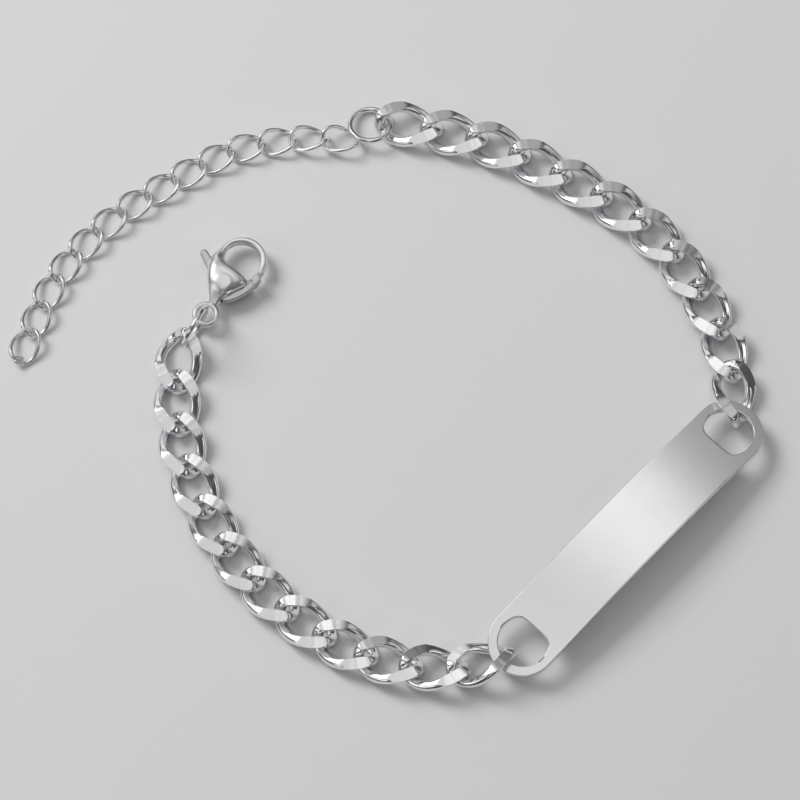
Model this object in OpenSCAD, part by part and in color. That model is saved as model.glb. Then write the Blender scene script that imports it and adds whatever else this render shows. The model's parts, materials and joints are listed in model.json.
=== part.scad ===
// Curb chain id bracelet with an extender chain and a lobster clasp, lying open on a flat surface.
// Lengths are millimetres, +Z is up, and the surface that it lies on is Z = 0.

/* [Id plate] */
// Length of the plate from tip to tip
plate_len = 38; // [32:0.2:46]
// Width of the plate, and so the diameter of its round ends
plate_wid = 7.2; // [6.6:0.1:9]
// Thickness of the plate
plate_thick = 0.85; // [0.6:0.05:1]
// Radius that the plate is bent to along its length
plate_bend_r = 105; // [80:5:200]
// Height of the underside of the plate at its two tips
plate_lift = 1.1; // [1:0.02:1.2]
// Width of the metal left around each slot
plate_rim = 1; // [0.8:0.05:1.1]
// How far the slot runs past the centre of the round end towards the middle of the plate
slot_reach = 1.8; // [1.4:0.1:2.1]
// Radius of the two inner corners of each slot
slot_corner = 0.7; // [0.4:0.05:1]
// Direction that the plate lies in, in degrees from +X
plate_heading = 46.5; // [30:0.5:60]

/* [Curb links] */
// Outer length of one curb link
link_len = 7.4; // [7:0.05:8.5]
// Outer width of one curb link
link_wid = 5; // [4.9:0.05:5.6]
// Diameter of the wire that the link is bent from
link_wire = 1.2; // [0.9:0.05:1.25]
// Height between the two ground faces of a link
link_high = 2.1; // [1.8:0.05:2.6]
// Twist of each end of a link out of its middle plane, in degrees
link_twist = 55; // [48:1:62]
// How square the bends of a link are, where 2 is an ellipse
link_square = 2.4; // [2:0.1:3]
// Number of links between the plate and the jump ring
right_links = 11; // [3:1:11]
// Number of links between the plate and the clasp
left_links = 12; // [3:1:12]
// Free play between neighbouring links as they lie, on the side of the jump ring
right_play = 0.12; // [0.1:0.02:0.4]
// Free play between neighbouring links as they lie, on the side of the clasp
left_play = 0.28; // [0.12:0.02:0.4]
// Free play between the plate's rim and the right link that holds it
right_rim_play = 0.41; // [0.35:0.01:0.5]
// Free play between the plate's rim and the left link that holds it
left_rim_play = 0.36; // [0.3:0.02:0.5]
// Where the right link hangs round the end of the plate, in degrees from the plate's length
right_seat = 30; // [24:1:34]
// Where the left link hangs round the end of the plate, in degrees from the plate's length
left_seat = 17; // [12:1:24]

/* [Extender] */
// Outer length of one extender link
ext_len = 4.35; // [4:0.05:5.5]
// Outer width of one extender link
ext_wid = 3.2; // [2.9:0.05:4]
// Diameter of the wire of an extender link
ext_wire = 0.45; // [0.35:0.01:0.5]
// Twist of each end of an extender link, in degrees
ext_twist = 38; // [30:1:45]
// Number of links in the extender
ext_links = 14; // [3:1:14]
// Free play between neighbouring extender links
ext_play = 0.12; // [0.1:0.01:0.3]
// Height of the first extender link's lowest point, where it lies on the jump ring
ext_first_lift = 0.08; // [0.02:0.02:0.2]
// How far one wire end of the last link is bent inwards past the other
ext_end_gap = 0.62; // [0.56:0.02:0.8]

/* [Rings] */
// Outer diameter of the jump ring that holds the extender
jump_od = 4.85; // [4.4:0.05:6]
// Wire diameter of the jump ring
jump_wire = 0.6; // [0.4:0.05:0.7]
// Tilt of the jump ring as it lies through the two chains, in degrees
jump_tilt = 15; // [12:0.5:18]
// Height of the middle of the jump ring
jump_lift = 1; // [0.95:0.01:1.1]
// Free play between the jump ring and the links that it holds
jump_play = 0.25; // [0.1:0.02:0.4]
// Outer diameter of the small ring that holds the clasp
clasp_ring_od = 5.1; // [4.8:0.05:6]
// Wire diameter of the ring that holds the clasp
clasp_ring_wire = 0.6; // [0.4:0.05:0.65]
// Lean of the standing clasp ring from upright, in degrees
clasp_ring_lean = 6; // [0:1:10]
// Direction that the clasp ring stands in, in degrees from +X
clasp_ring_heading = 61; // [50:1:70]
// Free play between the clasp ring and the link that holds it
clasp_ring_play = 0.27; // [0.2:0.01:0.4]
// Free play between the clasp ring and the clasp's eye
eye_play = 0.32; // [0.25:0.01:0.45]

/* [Clasp] */
// Distance from the clasp's eye to the middle of its hook
clasp_reach = 7; // [6.9:0.05:7.2]
// Radius of the opening inside the hook
hook_bore_r = 1.9; // [1.8:0.05:2]
// Width of the hook's metal seen from above
hook_wire = 0.72; // [0.6:0.02:0.8]
// Thickness of the hook and of the gate's nose
hook_thick = 1.3; // [1:0.05:1.6]
// Radius of the hole in the clasp's eye
eye_bore_r = 0.8; // [0.75:0.01:0.95]
// Diameter of the metal around the eye
eye_wire = 0.65; // [0.5:0.05:0.75]
// Thickness of the clasp's body at its fullest
body_thick = 2.8; // [2.5:0.1:3.2]
// Radius of the domed faces of the body
body_dome = 6; // [5.5:0.5:9]
// Thickness of the lever
lever_thick = 0.8; // [0.5:0.05:0.9]
// Clearance on each side of the lever in its slot
lever_gap = 0.1; // [0.05:0.01:0.15]
// Diameter of the rivet that the lever turns on
pin_d = 0.9; // [0.7:0.05:1.1]
// Length of the rivet, whose ends are hidden in the cheeks
pin_len = 1.8; // [1.6:0.05:1.9]
// Clearance of the rivet in the cheeks
rivet_gap = 0.02; // [0.01:0.01:0.04]
// Radial clearance of the lever on its rivet
pin_gap = 0.04; // [0.02:0.01:0.08]
// Distance from the rivet at which the gate's nose becomes as thick as the hook
nose_inner_r = 2.7; // [2.6:0.05:2.9]
// Distance from the rivet to the end of the gate's nose
nose_outer_r = 3.68; // [3.6:0.02:3.8]
// Gap between the gate's nose and the metal that it passes
gate_gap = 0.1; // [0.05:0.01:0.2]
// Direction that the clasp lies in, in degrees from +X
clasp_heading = 58; // [45:1:70]

/* [Hidden] */

steel = "#c9ccd1";
steel_dark = "#aeb2b8";

// Sections around a link and sides of its wire
link_sections = 16;
link_sides = 6;
ring_fn = 64;
bend_fn = 720;

// Turn from each link to the next, in degrees, from the plate outwards
right_turns = [13, 9, 7, 12, 12, 5, 2, 5, 10, 2];
left_turns = [-20, -12, -11, -9, -8, -9, -9, -8, -9, -9, -8];
ext_turns = [4, 9, 6, 13, 3, 2, 1, 7, 7, 7, 9, 8, -3];
// Direction of the first link of each run, in degrees from +X
right_start = 92;
left_start = 197;
ext_start = 176;
// How the links next to the plate and the jump ring lie, as [roll about their length, tilt of their
// length] in degrees; the links after them lie flat
right_lie = [[23.5, 1.5], [9, 0], [6, 0]];
left_lie = [[22, 5], [10, 0], [5, 0]];
ext_lie = [[4, -5.5], [10, 0]];
function lie(table, i) = i < len(table) ? table[i] : [0, 0];

function dir(a) = [cos(a), sin(a)];
function numbered(name, i) = str(name, i < 10 ? "0" : "", i);

// Chain layout

// Half the inner length of a link or ring, which is how far its neighbour's wire can reach into it
function inner_reach(outer, wire) = outer / 2 - wire;
link_reach = inner_reach(link_len, link_wire);
ext_reach = inner_reach(ext_len, ext_wire);
jump_reach = inner_reach(jump_od, jump_wire);
right_pitch = 2 * link_reach - right_play;
left_pitch = 2 * link_reach - left_play;
ext_pitch = 2 * ext_reach - ext_play;

// A run of links as a list of [place, heading], each a pitch further along the mean of two headings
function run_of(place, heading, turns, count, pitch, i = 0) =
    i == count - 1
        ? [[place, heading]]
        : let (next = place + pitch * dir(heading + turns[i] / 2))
          concat([[place, heading]], run_of(next, heading + turns[i], turns, count, pitch, i + 1));

// The middle of the plate's rim, at an angle round one of its ends
end_at = (plate_len - plate_wid) / 2;
function rim_place(side, angle) =
    side * end_at * dir(plate_heading) + side * (plate_wid - plate_rim) / 2 * dir(plate_heading + angle);
right_run = run_of(
    rim_place(1, right_seat) + (link_reach - plate_rim / 2 - right_rim_play) * dir(right_start),
    right_start, right_turns, right_links, right_pitch
);
left_run = run_of(
    rim_place(-1, -left_seat) + (link_reach - plate_rim / 2 - left_rim_play) * dir(left_start),
    left_start, left_turns, left_links, left_pitch
);

right_last = right_run[right_links - 1];
jump_place = right_last[0] + (link_reach + jump_reach - jump_play) * dir(right_last[1] + 10);
ext_run = run_of(
    jump_place + (jump_reach + ext_reach) * dir(right_last[1] + 38),
    ext_start, ext_turns, ext_links, ext_pitch
);

// Half width of the standing clasp ring at a height above the surface
clasp_ring_r = (clasp_ring_od - clasp_ring_wire) / 2;
function ring_half_width(z) = sqrt(pow(clasp_ring_r, 2) - pow(clasp_ring_od / 2 - z, 2));
left_last = left_run[left_links - 1];
clasp_high = body_thick / 2;
clasp_ring_place = left_last[0]
    + (link_reach + ring_half_width(link_high / 2) - clasp_ring_wire / 2 - clasp_ring_play)
    * dir(clasp_ring_heading);
eye_place = clasp_ring_place
    + (ring_half_width(clasp_high) + eye_bore_r - clasp_ring_wire / 2 - eye_play) * dir(clasp_ring_heading);

// Link surface

// Middle line of a link: a squared oval whose ends are twisted opposite ways out of its plane
function signed_pow(v, e) = sign(v) * pow(abs(v), e);
function link_line(len, wid, wire, twist, u) =
    let (
        a = (len - wire) / 2,
        x = a * signed_pow(cos(u), 2 / link_square),
        y = (wid - wire) / 2 * signed_pow(sin(u), 2 / link_square),
        t = -twist * x / a
    ) [x, y * cos(t), y * sin(t)];

// One section: a flat-topped hexagon across the middle line, cut level with the two ground faces
function link_section(c, tangent, wire, high) =
    let (
        across = [tangent.y, -tangent.x, 0] / norm([tangent.x, tangent.y]),
        up = cross(across, tangent) * (cross(across, tangent).z < 0 ? -1 : 1),
        r = wire / 2,
        top = min(r * sin(60), (high / 2 - c.z) / up.z),
        low = min(r * sin(60), (high / 2 + c.z) / up.z),
        top_half = r - top * tan(30),
        low_half = r - low * tan(30)
    ) [
        c + r * across,
        c + top_half * across + top * up,
        c - top_half * across + top * up,
        c - r * across,
        c - low_half * across - low * up,
        c + low_half * across - low * up
    ];

// Angles round the oval that space the sections by its bends
function section_angle(i) = 360 * (i + 0.5) / link_sections;
function link_sections_of(len, wid, wire, high, twist) = [
    for (i = [0:link_sections - 1])
        let (
            u = section_angle(i),
            ahead = link_line(len, wid, wire, twist, u + 1),
            behind = link_line(len, wid, wire, twist, u - 1)
        )
        link_section(link_line(len, wid, wire, twist, u), (ahead - behind) / norm(ahead - behind), wire, high)
];

function joined(lists) = [for (l = lists) for (p = l) p];

// Two triangles for each side between one section and the next
function tube_faces(sections, closed) = [
    for (i = [0:sections - (closed ? 1 : 2)])
        for (j = [0:link_sides - 1])
            let (
                k = (i + 1) % sections,
                m = (j + 1) % link_sides,
                p = i * link_sides,
                q = k * link_sides
            )
            each [[p + j, q + m, q + j], [p + j, p + m, q + m]]
];

module closed_tube(sections) {
    polyhedron(points = joined(sections), faces = tube_faces(len(sections), true), convexity = 6);
}

module open_tube(sections) {
    last = (len(sections) - 1) * link_sides;
    polyhedron(
        points = joined(sections),
        faces = concat(
            tube_faces(len(sections), false),
            [[for (j = [link_sides - 1:-1:0]) j]],
            [[for (j = [0:link_sides - 1]) last + j]]
        ),
        convexity = 6
    );
}

curb_sections = link_sections_of(link_len, link_wid, link_wire, link_high, link_twist);
ext_sections = link_sections_of(ext_len, ext_wid, ext_wire, ext_wid, ext_twist);

// How far a link has to be lifted, as it lies, for its lowest point to touch the surface
function lift_of(sections, lie) =
    -min([
        for (p = joined(sections))
            (p.y * sin(lie[0]) + p.z * cos(lie[0])) * cos(lie[1]) - p.x * sin(lie[1])
    ]);

// Size of the whole bracelet seen from above, which puts its middle on the origin
function outline_of(run, sections) = [
    for (link = run) for (p = joined(sections))
        [
            link[0].x + p.x * cos(link[1]) - p.y * sin(link[1]),
            link[0].y + p.x * sin(link[1]) + p.y * cos(link[1])
        ]
];
outline = concat(
    outline_of(right_run, curb_sections),
    outline_of(left_run, curb_sections),
    outline_of(ext_run, ext_sections),
    [
        for (side = [-1, 1]) for (edge = [-1, 1])
            side * end_at * dir(plate_heading) + edge * plate_wid / 2 * [1, 1]
    ]
);
middle = [
    (min([for (p = outline) p.x]) + max([for (p = outline) p.x])) / 2,
    (min([for (p = outline) p.y]) + max([for (p = outline) p.y])) / 2
];

module laid(place, heading, lift = 0, lie = [0, 0]) {
    translate([place.x - middle.x, place.y - middle.y, lift])
        rotate([lie[0], lie[1], heading])
            children();
}

// Id plate

module slot_shape() {
    bore = plate_wid / 2 - plate_rim;
    corner_x = slot_reach - slot_corner;
    corner_y = sqrt(pow(bore - slot_corner, 2) - pow(corner_x, 2));
    touch = bore / (bore - slot_corner) * [corner_x, corner_y];
    intersection() {
        circle(r = bore, $fn = ring_fn);
        translate([-2 * bore, -bore]) square([2 * bore + touch.x, 2 * bore]);
    }
    for (side = [-1, 1])
        translate([corner_x, side * corner_y]) circle(r = slot_corner, $fn = ring_fn);
    polygon([
        [0, 0], touch, [corner_x, corner_y + slot_corner * 0.6], [slot_reach, corner_y],
        [slot_reach, -corner_y], [corner_x, -corner_y - slot_corner * 0.6], [touch.x, -touch.y]
    ]);
}

module plate_shape() {
    difference() {
        union() {
            square([2 * end_at, plate_wid], center = true);
            for (side = [-1, 1])
                translate([side * end_at, 0]) circle(d = plate_wid, $fn = ring_fn);
        }
        translate([-end_at, 0]) slot_shape();
        translate([end_at, 0]) mirror([1, 0]) slot_shape();
    }
}

module id_plate() {
    sag = plate_bend_r - sqrt(pow(plate_bend_r, 2) - pow(plate_len / 2, 2));
    outer_r = plate_bend_r + plate_thick;
    color(steel)
        laid([0, 0], plate_heading)
            intersection() {
                linear_extrude(height = plate_lift + sag + 2 * plate_thick) plate_shape();
                translate([0, 0, plate_lift + sag - plate_bend_r])
                    rotate([90, 0, 0])
                        difference() {
                            cylinder(r = outer_r, h = 2 * plate_wid, center = true, $fn = bend_fn);
                            cylinder(r = plate_bend_r, h = 3 * plate_wid, center = true, $fn = bend_fn);
                        }
            }
}

// Chains

module curb_link(link, lie) {
    color(steel) laid(link[0], link[1], lift_of(curb_sections, lie), lie) closed_tube(curb_sections);
}

module extender_link(link, lie, lift = 0) {
    color(steel_dark)
        laid(link[0], link[1], lift + lift_of(ext_sections, lie), lie)
            closed_tube(ext_sections);
}

// The last link: its wire starts and ends at the free end, one end bent inwards past the other
module open_link(link) {
    overlap = 8;
    steps = link_sections + 1;
    function bend(s) = pow(max(0, abs(2 * s - 1) - 0.72) / 0.28, 2);
    function line_at(s) =
        link_line(ext_len, ext_wid, ext_wire, ext_twist, -overlap + (360 + 2 * overlap) * s)
        + [(s < 0.5 ? 0.1 : -0.9) * ext_end_gap * bend(s), 0, 0];
    sections = [
        for (i = [0:steps])
            let (
                s = i / steps,
                ahead = line_at(min(1, s + 0.005)),
                behind = line_at(max(0, s - 0.005))
            )
            link_section(line_at(s), (ahead - behind) / norm(ahead - behind), ext_wire, ext_wid)
    ];
    color(steel_dark) laid(link[0], link[1], lift_of(sections, [0, 0])) open_tube(sections);
}

module wire_ring(outer, wire) {
    rotate_extrude($fn = ring_fn) translate([(outer - wire) / 2, 0]) circle(d = wire, $fn = 24);
}

module jump_ring() {
    color(steel)
        translate([jump_place.x - middle.x, jump_place.y - middle.y, jump_lift])
            rotate([-jump_tilt, 0, 0])
                wire_ring(jump_od, jump_wire);
}

module clasp_ring() {
    color(steel)
        laid(clasp_ring_place, clasp_ring_heading, clasp_ring_od / 2)
            rotate([90 + clasp_ring_lean, 0, 0])
                wire_ring(clasp_ring_od, clasp_ring_wire);
}

// Clasp, drawn flat with its eye at the origin and its hook along +X

// The clasp's tables are drawn for a reach of 7
clasp_unit = clasp_reach / 7;
function sized(points) = [for (p = points) clasp_unit * p];
pin_place = clasp_unit * [3.3, -0.6];
dome_place = clasp_unit * [4.2, 0.8];
// Direction of the hook's tip from the middle of the hook, in degrees
hook_tip = -100;

module clasp_placed() {
    laid(eye_place, clasp_heading, clasp_high) children();
}

module body_shape() {
    polygon(sized([
        [1.2, 0.4], [1.6, 0.6], [2.3, 1.1], [3.3, 1.75], [4.3, 2.34], [5.1, 2.62], [5.9, 2.75], [6.9, 2.6],
        [6.62, 2.14], [6.02, 1.5], [5.77, 0.95], [5.52, 0.3], [5.42, -0.37], [5.37, -1.1], [5.3, -1.45],
        [5.05, -1.65], [4.57, -1.75], [3.6, -1.3], [2.68, -0.84], [1.96, -0.61], [1.2, -0.5]
    ]));
}

// Cross-section of the hook: a bar with half-round inner and outer edges
module hook_section() {
    square([hook_wire, hook_thick - hook_wire], center = true);
    for (side = [-1, 1])
        translate([0, side * (hook_thick - hook_wire) / 2]) circle(d = hook_wire, $fn = 32);
}

// Everything that the gate's nose can reach, with the gap around it
module nose_sweep() {
    translate([pin_place.x, pin_place.y, 0])
        rotate([0, 0, -75])
            rotate_extrude(angle = 110, $fn = 128)
                translate([nose_inner_r - gate_gap, -body_thick])
                    square([nose_outer_r - nose_inner_r + 2 * gate_gap, 2 * body_thick]);
}

module clasp_body() {
    color(steel) clasp_placed() difference() {
        union() {
            intersection() {
                linear_extrude(height = body_thick, center = true) body_shape();
                intersection_for(side = [-1, 1])
                    translate([dome_place.x, dome_place.y, side * (body_dome - body_thick / 2)])
                        sphere(r = body_dome, $fn = 128);
            }
            translate([clasp_reach, 0, 0])
                rotate([0, 0, hook_tip])
                    rotate_extrude(angle = 110 - hook_tip, $fn = 96)
                        translate([hook_bore_r + hook_wire / 2, 0]) hook_section();
            wire_ring(2 * (eye_bore_r + eye_wire), eye_wire);
        }
        nose_sweep();
        linear_extrude(height = lever_thick + 2 * lever_gap, center = true) lever_slot();
        translate([pin_place.x, pin_place.y, 0])
            cylinder(d = pin_d + 2 * rivet_gap, h = pin_len + 2 * rivet_gap, center = true, $fn = ring_fn);
    }
}

// Space for the lever between the two cheeks of the body
module lever_slot() {
    polygon(sized([
        [1.9, -2.5], [1.9, -0.1], [2.3, 0.6], [1.9, 2], [1.9, 6], [6, 6], [6, 3.2], [5.3, 2.1], [4.9, 0.9],
        [4.9, 0.4], [7, 0.4], [7, -4]
    ]));
}

module lever_shape() {
    translate(pin_place) circle(r = 0.95 * clasp_unit, $fn = ring_fn);
    polygon(sized([
        [2.6, -0.1], [3.3, 1], [4.2, 2.4], [4.9, 3.4], [5.35, 4.15], [5.6, 4.3], [5.95, 4.15], [6.05, 3.8],
        [5.7, 3.1], [4.95, 1.9], [4.5, 0.8], [4.2, -0.5]
    ]));
    polygon(sized([
        [2.6, -0.1], [2.1, -0.85], [2.6, -1.45], [3.37, -2], [4.1, -2.35], [4.81, -2.6], [5.4, -2.75],
        [6.25, -2.88], [6.8, -2.5], [6.6, -2.2], [5.9, -1.95], [5.2, -1.55], [4.5, -0.8], [4.1, -0.2]
    ]));
}

// The gate's nose, as thick as the hook that it closes
module nose_shape() {
    difference() {
        polygon(sized([
            [4.5, -1.5], [4.81, -2.6], [5.4, -2.75], [6.25, -2.88], [6.8, -2.5], [6.6, -2.2], [5.9, -1.95],
            [5.2, -1.55]
        ]));
        translate(pin_place) circle(r = nose_inner_r, $fn = 128);
    }
}

module clasp_lever() {
    color(steel_dark) clasp_placed() difference() {
        union() {
            linear_extrude(height = lever_thick, center = true) lever_shape();
            linear_extrude(height = hook_thick, center = true) nose_shape();
        }
        difference() {
            translate([pin_place.x, pin_place.y, 0])
                difference() {
                    cylinder(r = clasp_reach, h = body_thick, center = true, $fn = ring_fn);
                    cylinder(r = nose_outer_r, h = 2 * body_thick, center = true, $fn = 128);
                }
            translate([0, 0, -body_thick]) cube([2 * clasp_reach, 2 * clasp_reach, 2 * body_thick]);
        }
        translate([pin_place.x, pin_place.y, 0])
            cylinder(d = pin_d + 2 * pin_gap, h = 2 * hook_thick, center = true, $fn = ring_fn);
    }
}

module clasp_pin() {
    color(steel_dark) clasp_placed()
        translate([pin_place.x, pin_place.y, 0])
            cylinder(d = pin_d, h = pin_len, center = true, $fn = ring_fn);
}

// The bracelet

id_plate();
for (i = [1:left_links])
    curb_link(left_run[i - 1], lie(left_lie, i - 1));
for (i = [1:right_links])
    curb_link(right_run[i - 1], lie(right_lie, i - 1));
jump_ring();
for (i = [1:ext_links - 1])
    extender_link(ext_run[i - 1], lie(ext_lie, i - 1), i == 1 ? ext_first_lift : 0);
open_link(ext_run[ext_links - 1]);
clasp_ring();
clasp_body();
clasp_lever();
clasp_pin();
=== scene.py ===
"""Looks of the steel id bracelet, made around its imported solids.

The bracelet lies open on a pale surface: an arched plate, two runs of ground curb links, a thin
extender chain and a lobster clasp. Lengths are millimetres until a mesh is made, and metres in
the studio.
"""

from __future__ import annotations

import json
import logging
import math
from dataclasses import dataclass, field
from enum import Enum

import bpy
import numpy as np
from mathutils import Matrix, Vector


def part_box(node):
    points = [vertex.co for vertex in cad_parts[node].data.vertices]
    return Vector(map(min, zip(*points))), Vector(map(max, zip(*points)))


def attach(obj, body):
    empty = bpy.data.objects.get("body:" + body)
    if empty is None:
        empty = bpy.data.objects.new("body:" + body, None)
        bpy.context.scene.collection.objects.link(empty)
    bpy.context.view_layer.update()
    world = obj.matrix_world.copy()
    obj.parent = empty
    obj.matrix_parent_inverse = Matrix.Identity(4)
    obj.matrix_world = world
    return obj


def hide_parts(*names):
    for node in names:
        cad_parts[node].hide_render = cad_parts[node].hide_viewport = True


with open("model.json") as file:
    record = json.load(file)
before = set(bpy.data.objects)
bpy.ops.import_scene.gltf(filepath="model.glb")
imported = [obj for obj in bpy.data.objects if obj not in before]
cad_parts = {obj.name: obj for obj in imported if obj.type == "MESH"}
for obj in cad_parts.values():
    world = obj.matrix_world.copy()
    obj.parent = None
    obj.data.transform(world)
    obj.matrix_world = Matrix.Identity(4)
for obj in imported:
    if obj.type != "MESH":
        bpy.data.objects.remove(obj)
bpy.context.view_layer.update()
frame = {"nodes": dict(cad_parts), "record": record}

LOG = logging.getLogger("bracelet")
MM = 0.001
BODY = "bracelet"
LEVER_BODY = "lever"
# Edges from these angles up stay sharp: on plain pieces, on a chain's links and on cut pieces
PLAIN_CREASE, LINK_CREASE, CUT_CREASE = 30.0, 48.0, 34.0
# Points of the dense line that is spaced evenly afterwards
DENSE = 4000
# Decimals of a millimetre to which corners are told apart: of solids, and along seams
NODE_DECIMALS, SEAM_DECIMALS = 3, 4
# Sections of a slab's quarter-round edge
EDGE_STEPS = 5


# Meshes


def node_points(node: str) -> np.ndarray:
    """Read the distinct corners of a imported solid.

    Args:
        node: Name of the node.

    Returns:
        Corners as rows of x, y, z in millimetres.
    """
    mesh = frame["nodes"][node].data
    flat = np.empty(3 * len(mesh.vertices))
    mesh.vertices.foreach_get("co", flat)
    return np.unique(np.round(flat.reshape(-1, 3) / MM, NODE_DECIMALS), axis=0)


def unit(vectors: np.ndarray) -> np.ndarray:
    """Return the vectors, one a row, scaled to length one."""
    return vectors / np.linalg.norm(vectors, axis=-1, keepdims=True)


def grid_faces(
    rows: int, columns: int, closed_rows: bool = False, closed_columns: bool = False
) -> np.ndarray:
    """Join a grid of points with four-sided faces.

    Args:
        rows: Number of rows of points.
        columns: Number of points in a row.
        closed_rows: Whether the last row is joined to the first.
        closed_columns: Whether each row's last point is joined to its first.

    Returns:
        Faces as rows of four indices.
    """
    i, j = np.meshgrid(
        np.arange(rows if closed_rows else rows - 1),
        np.arange(columns if closed_columns else columns - 1),
        indexing="ij",
    )
    i, j = i.ravel(), j.ravel()
    down, right = (i + 1) % rows, (j + 1) % columns
    corners = [i * columns + j, down * columns + j, down * columns + right, i * columns + right]
    return np.stack(corners, axis=1)


def outward(points: np.ndarray, faces: np.ndarray) -> np.ndarray:
    """Turn the faces of a closed surface outwards.

    The enclosed volume is the sum over each triangle of its corners' triple product over six.

    Args:
        points: Corners of the surface.
        faces: Faces that all turn the same way.

    Returns:
        The faces, reversed where the volume came out negative.
    """
    a, b, c, d = (points[faces[:, k]] for k in range(4))
    volume = np.einsum("ij,ij->", a, np.cross(b, c)) + np.einsum("ij,ij->", a, np.cross(c, d))
    return faces[:, ::-1] if volume < 0 else faces


def merged(points: np.ndarray, faces: np.ndarray) -> tuple[np.ndarray, np.ndarray]:
    """Merge points that lie in the same place, so that patches share their seams.

    Args:
        points: Corners, some of them in the same place.
        faces: Faces on those corners.

    Returns:
        The distinct corners and the faces on them.
    """
    places = np.round(points, SEAM_DECIMALS)
    _, first, index = np.unique(places, axis=0, return_index=True, return_inverse=True)
    return points[first], index.reshape(-1)[faces]


def smooth_through(points: np.ndarray, steps: int, closed: bool) -> np.ndarray:
    """Draw a smooth line through a few chosen points.

    Each span is the cubic whose slope at a point is half the step between its two neighbours.

    Args:
        points: Chosen rows of numbers.
        steps: Number of rows wanted for each span.
        closed: Whether the line runs back to its start.

    Returns:
        The denser rows.
    """
    if closed:
        before, after, beyond = (np.roll(points, k, axis=0) for k in (1, -1, -2))
        here = points
    else:
        ends = np.vstack([2 * points[0] - points[1], points, 2 * points[-1] - points[-2]])
        before, here, after, beyond = ends[:-3], ends[1:-2], ends[2:-1], ends[3:]
    t = np.linspace(0, 1, steps, endpoint=False)[None, :, None]
    before, here, after, beyond = (rows[:, None] for rows in (before, here, after, beyond))
    line = 0.5 * (
        2 * here
        + (after - before) * t
        + (2 * before - 5 * here + 4 * after - beyond) * t**2
        + (3 * here - before - 3 * after + beyond) * t**3
    )
    line = line.reshape(-1, points.shape[1])
    return line if closed else np.vstack([line, points[-1:]])


def closed_tube(rows: int, columns: int) -> list[list[int]]:
    """Join rows of points to a tube with a flat face of many sides at each end.

    Args:
        rows: Number of rows of points.
        columns: Number of points in a row.

    Returns:
        Outward faces as lists of indices.
    """
    walls = grid_faces(rows, columns, closed_columns=True)[:, ::-1].tolist()
    last = (rows - 1) * columns
    return [*walls, list(range(columns - 1, -1, -1)), list(range(last, last + columns))]


def rounded_slab(
    outline: np.ndarray, thickness: float, edge: float
) -> tuple[np.ndarray, list[list[int]]]:
    """Raise a flat outline to a slab with quarter-round edges.

    Each row of points is the outline moved inwards by edge * (1 - cos a) and raised by
    edge * sin a, with a from the side wall's 0 to the face's quarter turn.

    Args:
        outline: Counter-clockwise points in the plane.
        thickness: Whole thickness.
        edge: Radius of the edges, or 0 for a sharp slab.

    Returns:
        Corners and outward faces.
    """
    ahead = unit(np.roll(outline, -1, axis=0) - np.roll(outline, 1, axis=0))
    inward = np.stack([-ahead[:, 1], ahead[:, 0]], axis=1)
    angle = np.linspace(0, np.pi / 2, EDGE_STEPS) if edge else np.zeros(1)
    angle, side = np.concatenate([-angle[::-1], angle]), np.repeat([-1.0, 1.0], len(angle))
    height = side * (thickness / 2 - edge) + edge * np.sin(angle)
    rows = outline + inward * (edge * (1 - np.cos(angle)))[:, None, None]
    level = np.broadcast_to(height[:, None, None], (*rows.shape[:2], 1))
    points = np.concatenate([rows, level], axis=2).reshape(-1, 3)
    return points, closed_tube(*rows.shape[:2])


def torus(outer: float, wire: float, steps: int, sides: int) -> tuple[np.ndarray, np.ndarray]:
    """Make a flat ring of round wire about the origin.

    A circle of half the wire's size is carried round a circle of (outer - wire) / 2.

    Args:
        outer: Outer size across.
        wire: Size of the wire.
        steps: Number of points round the ring.
        sides: Number of points round the wire.

    Returns:
        Corners and outward faces.
    """
    turn = np.linspace(0, 2 * np.pi, steps, endpoint=False)[:, None]
    angle = np.linspace(0, 2 * np.pi, sides, endpoint=False)[None, :]
    radius = (outer - wire) / 2 + wire / 2 * np.cos(angle)
    height = np.broadcast_to(wire / 2 * np.sin(angle), (steps, sides))
    grid = np.stack([radius * np.cos(turn), radius * np.sin(turn), height], axis=-1)
    points = grid.reshape(-1, 3)
    return points, outward(points, grid_faces(steps, sides, True, True))


def joined(*parts: tuple[np.ndarray, list[list[int]]]) -> tuple[np.ndarray, list[list[int]]]:
    """Put several surfaces into one.

    Args:
        *parts: Corners and faces of each surface.

    Returns:
        All corners and all faces.
    """
    faces: list[list[int]] = []
    start = 0
    for points, own in parts:
        faces += [[start + k for k in face] for face in own]
        start += len(points)
    return np.vstack([points for points, _ in parts]), faces


def add_object(name: str, data: bpy.types.ID) -> bpy.types.Object:
    """Make an object and put it in the scene.

    Args:
        name: Name of the object.
        data: Its mesh, light or camera.

    Returns:
        The new object.
    """
    thing = bpy.data.objects.new(name, data)
    bpy.context.scene.collection.objects.link(thing)
    return thing


def carve(piece: bpy.types.Object, cutters: list[tuple[np.ndarray, list[list[int]]]]) -> None:
    """Cut closed shapes out of a piece and keep the result as its mesh.

    Args:
        piece: Piece that is cut.
        cutters: Corners in millimetres and faces of each shape that is taken away.
    """
    tools = []
    for number, (points, faces) in enumerate(cutters):
        mesh = bpy.data.meshes.new(f"cutter_{number}")
        mesh.from_pydata((points * MM).tolist(), [], faces)
        tools.append(add_object(mesh.name, mesh))
        cut = piece.modifiers.new(mesh.name, "BOOLEAN")
        cut.operation, cut.solver, cut.object = "DIFFERENCE", "EXACT", tools[-1]
    bpy.context.view_layer.update()
    evaluated = piece.evaluated_get(bpy.context.evaluated_depsgraph_get())
    result = bpy.data.meshes.new_from_object(evaluated)
    piece.modifiers.clear()
    piece.data = result
    for tool in tools:
        bpy.data.objects.remove(tool)
    result.set_sharp_from_angle(angle=math.radians(CUT_CREASE))


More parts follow.
